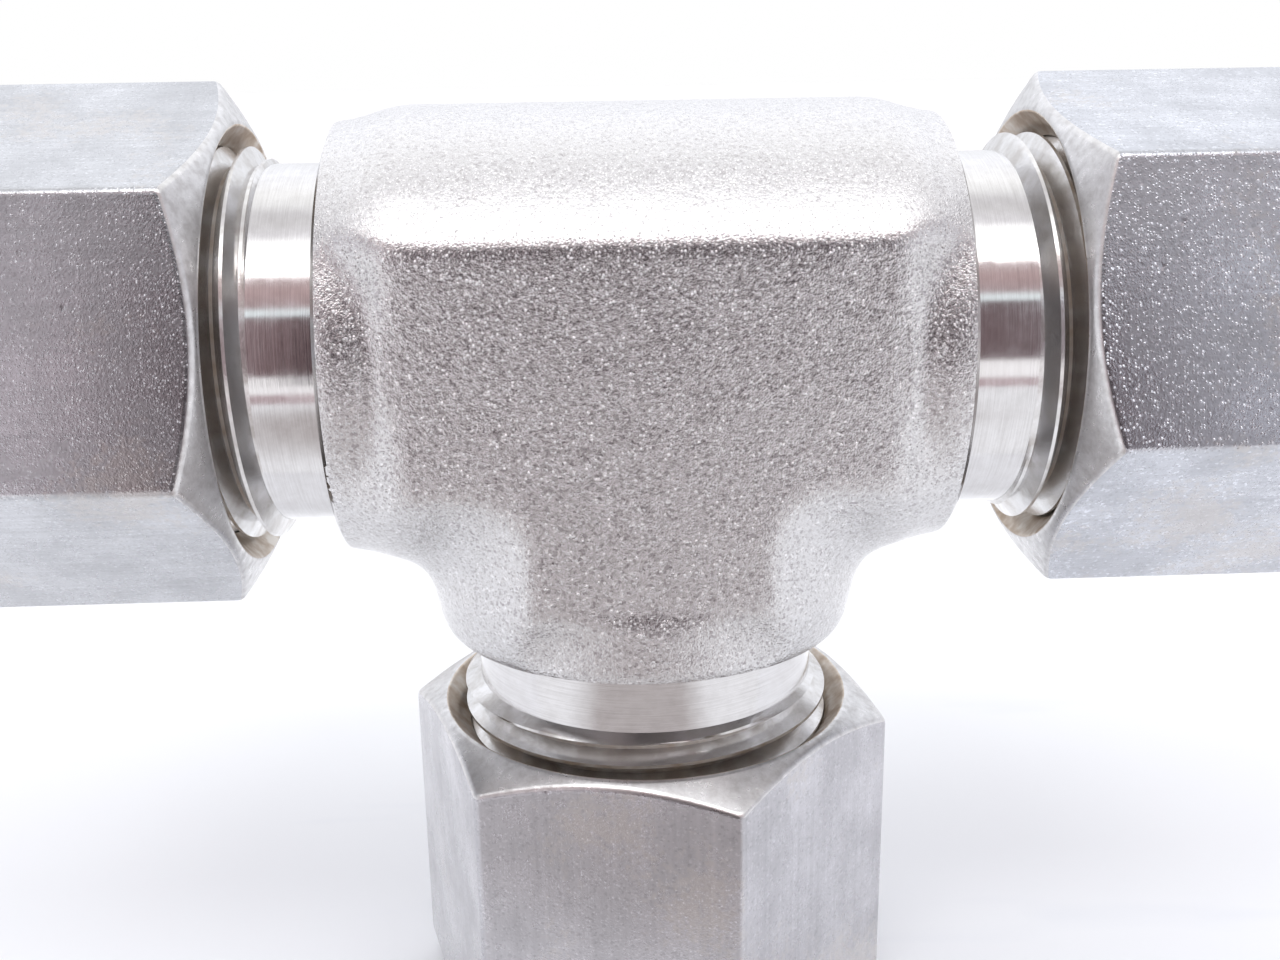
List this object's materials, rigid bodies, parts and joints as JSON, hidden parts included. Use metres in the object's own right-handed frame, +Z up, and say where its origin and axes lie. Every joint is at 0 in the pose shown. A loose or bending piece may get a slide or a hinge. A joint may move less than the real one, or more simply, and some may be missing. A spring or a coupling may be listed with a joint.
{
  "type": "tee fitting",
  "caption": "Union tee for 12.7 mm tube: forged stainless body, threaded hex nuts that unscrew, and front and back ferrules in each compression end.",
  "frame": {"origin": "centre of the branch nut's end face, which the fitting stands on", "axes": "+X along the run towards the right nut, -Y the front pad, +Z up; the branch points down"},
  "size_m": [0.073, 0.025, 0.0491],
  "materials": {
    "forged_steel": "blasted forging with turned and threaded ends",
    "nut_steel": "satin, slightly frosted",
    "ferrule_steel": "fine turned"
  },
  "bodies": {
    "tee": {"tee_body": "forged_steel"},
    "left_ferrules": {"left_front_ferrule": "ferrule_steel", "left_back_ferrule": "ferrule_steel"},
    "left_nut_turning": {"left_nut": "nut_steel"},
    "right_ferrules": {"right_front_ferrule": "ferrule_steel", "right_back_ferrule": "ferrule_steel"},
    "right_nut_turning": {"right_nut": "nut_steel"},
    "branch_ferrules": {"branch_front_ferrule": "ferrule_steel", "branch_back_ferrule": "ferrule_steel"},
    "branch_nut_turning": {"branch_nut": "nut_steel"}
  },
  "joints": [
    {"name": "left_nut_advance", "type": "slide", "parent": "tee", "child": "left_ferrules", "axis": [-1, 0, 0], "range_m": [0, 0.00698]},
    {"name": "left_nut_turn", "type": "hinge", "parent": "left_ferrules", "child": "left_nut_turning", "pos_m": [-0.0275, 0, 0.0365], "axis": [-1, 0, 0], "range_deg": [0, 1980]},
    {"name": "right_nut_advance", "type": "slide", "parent": "tee", "child": "right_ferrules", "axis": [1, 0, 0], "range_m": [0, 0.00698]},
    {"name": "right_nut_turn", "type": "hinge", "parent": "right_ferrules", "child": "right_nut_turning", "pos_m": [0.0275, 0, 0.0365], "axis": [1, 0, 0], "range_deg": [0, 1980]},
    {"name": "branch_nut_advance", "type": "slide", "parent": "tee", "child": "branch_ferrules", "axis": [0, 0, -1], "range_m": [0, 0.00698]},
    {"name": "branch_nut_turn", "type": "hinge", "parent": "branch_ferrules", "child": "branch_nut_turning", "pos_m": [0, 0, 0.009], "axis": [0, 0, -1], "range_deg": [0, 1980]}
  ],
  "couplings": [
    {"joint": "left_nut_turn", "follows": "left_nut_advance", "rad_per_m": 4947.4},
    {"joint": "right_nut_turn", "follows": "right_nut_advance", "rad_per_m": 4947.4},
    {"joint": "branch_nut_turn", "follows": "branch_nut_advance", "rad_per_m": 4947.4}
  ]
}
